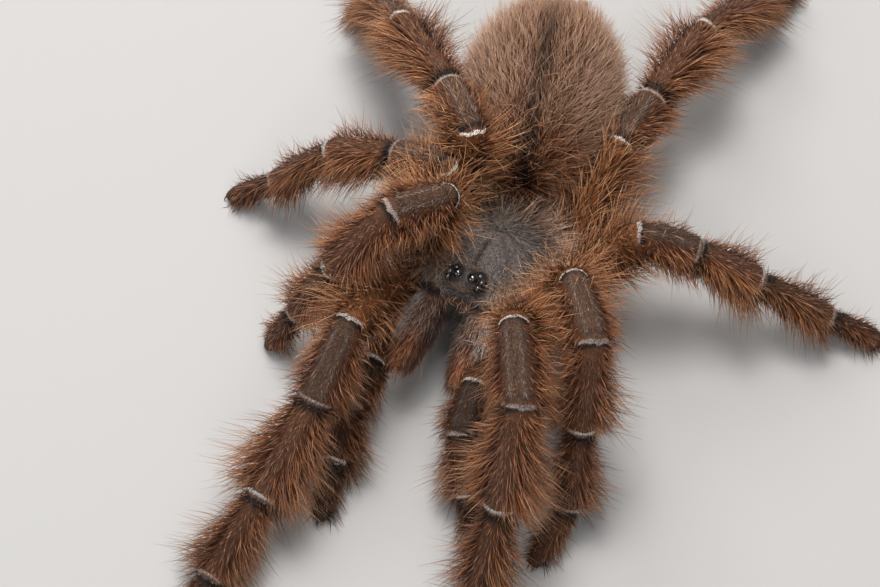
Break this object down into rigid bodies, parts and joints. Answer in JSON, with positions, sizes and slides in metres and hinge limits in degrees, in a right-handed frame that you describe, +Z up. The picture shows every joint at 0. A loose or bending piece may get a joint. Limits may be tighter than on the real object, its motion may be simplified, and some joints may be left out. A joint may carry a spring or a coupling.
{
  "type": "tarantula",
  "caption": "Life-size still model of a long-haired brown tarantula, standing low on the floor with its front legs reaching forward and its fluffy abdomen behind.",
  "frame": {"origin": "on the floor, below the centre of the animal's box", "axes": "+Z up; the animal faces -Y, its head turned 25 degrees towards -X; +X is on its left"},
  "size_m": [0.0662, 0.0746, 0.021],
  "materials": {
    "leg_coat": "long rust-brown hairs with pale tips over dark skin",
    "foot_coat": "brown hair, dark green-black pads below",
    "velvet": "short grey-brown velvet with two pale stripes",
    "abdomen_coat": "fluffy pinkish-beige hair with a dark median stripe",
    "shell": "grey-beige velvet over dark shell",
    "belly": "dark brown short-haired skin",
    "fang": "glossy black horn, reddish root",
    "eye": "glossy black lens"
  },
  "bodies": {
    "root": {"eye_front_middle_left": "eye", "eye_front_middle_right": "eye", "eye_front_side_left": "eye", "eye_front_side_right": "eye", "eye_rear_side_left": "eye", "eye_rear_side_right": "eye", "eye_rear_middle_left": "eye", "eye_rear_middle_right": "eye", "eye_mound": "shell", "fang_left": "fang", "chelicera_left": "velvet", "spinneret_left": "belly", "fang_right": "fang", "chelicera_right": "velvet", "spinneret_right": "belly", "carapace": "shell", "underside": "belly", "abdomen": "abdomen_coat", "pedicel": "belly", "palp_left_femur": "leg_coat", "palp_left_patella": "velvet", "palp_left_tibia": "leg_coat", "palp_left_tarsus": "foot_coat", "leg_left_1_femur": "leg_coat", "leg_left_1_patella": "velvet", "leg_left_1_tibia": "leg_coat", "leg_left_1_foot": "foot_coat", "leg_left_2_femur": "leg_coat", "leg_left_2_patella": "velvet", "leg_left_2_tibia": "leg_coat", "leg_left_2_foot": "foot_coat", "leg_left_3_femur": "leg_coat", "leg_left_3_patella": "velvet", "leg_left_3_tibia": "leg_coat", "leg_left_3_foot": "foot_coat", "leg_left_4_femur": "leg_coat", "leg_left_4_patella": "velvet", "leg_left_4_tibia": "leg_coat", "leg_left_4_foot": "foot_coat", "palp_right_femur": "leg_coat", "palp_right_patella": "velvet", "palp_right_tibia": "leg_coat", "palp_right_tarsus": "foot_coat", "leg_right_1_femur": "leg_coat", "leg_right_1_patella": "velvet", "leg_right_1_tibia": "leg_coat", "leg_right_1_foot": "foot_coat", "leg_right_2_femur": "leg_coat", "leg_right_2_patella": "velvet", "leg_right_2_tibia": "leg_coat", "leg_right_2_foot": "foot_coat", "leg_right_3_femur": "leg_coat", "leg_right_3_patella": "velvet", "leg_right_3_tibia": "leg_coat", "leg_right_3_foot": "foot_coat", "leg_right_4_femur": "leg_coat", "leg_right_4_patella": "velvet", "leg_right_4_tibia": "leg_coat", "leg_right_4_foot": "foot_coat"}
  },
  "joints": []
}
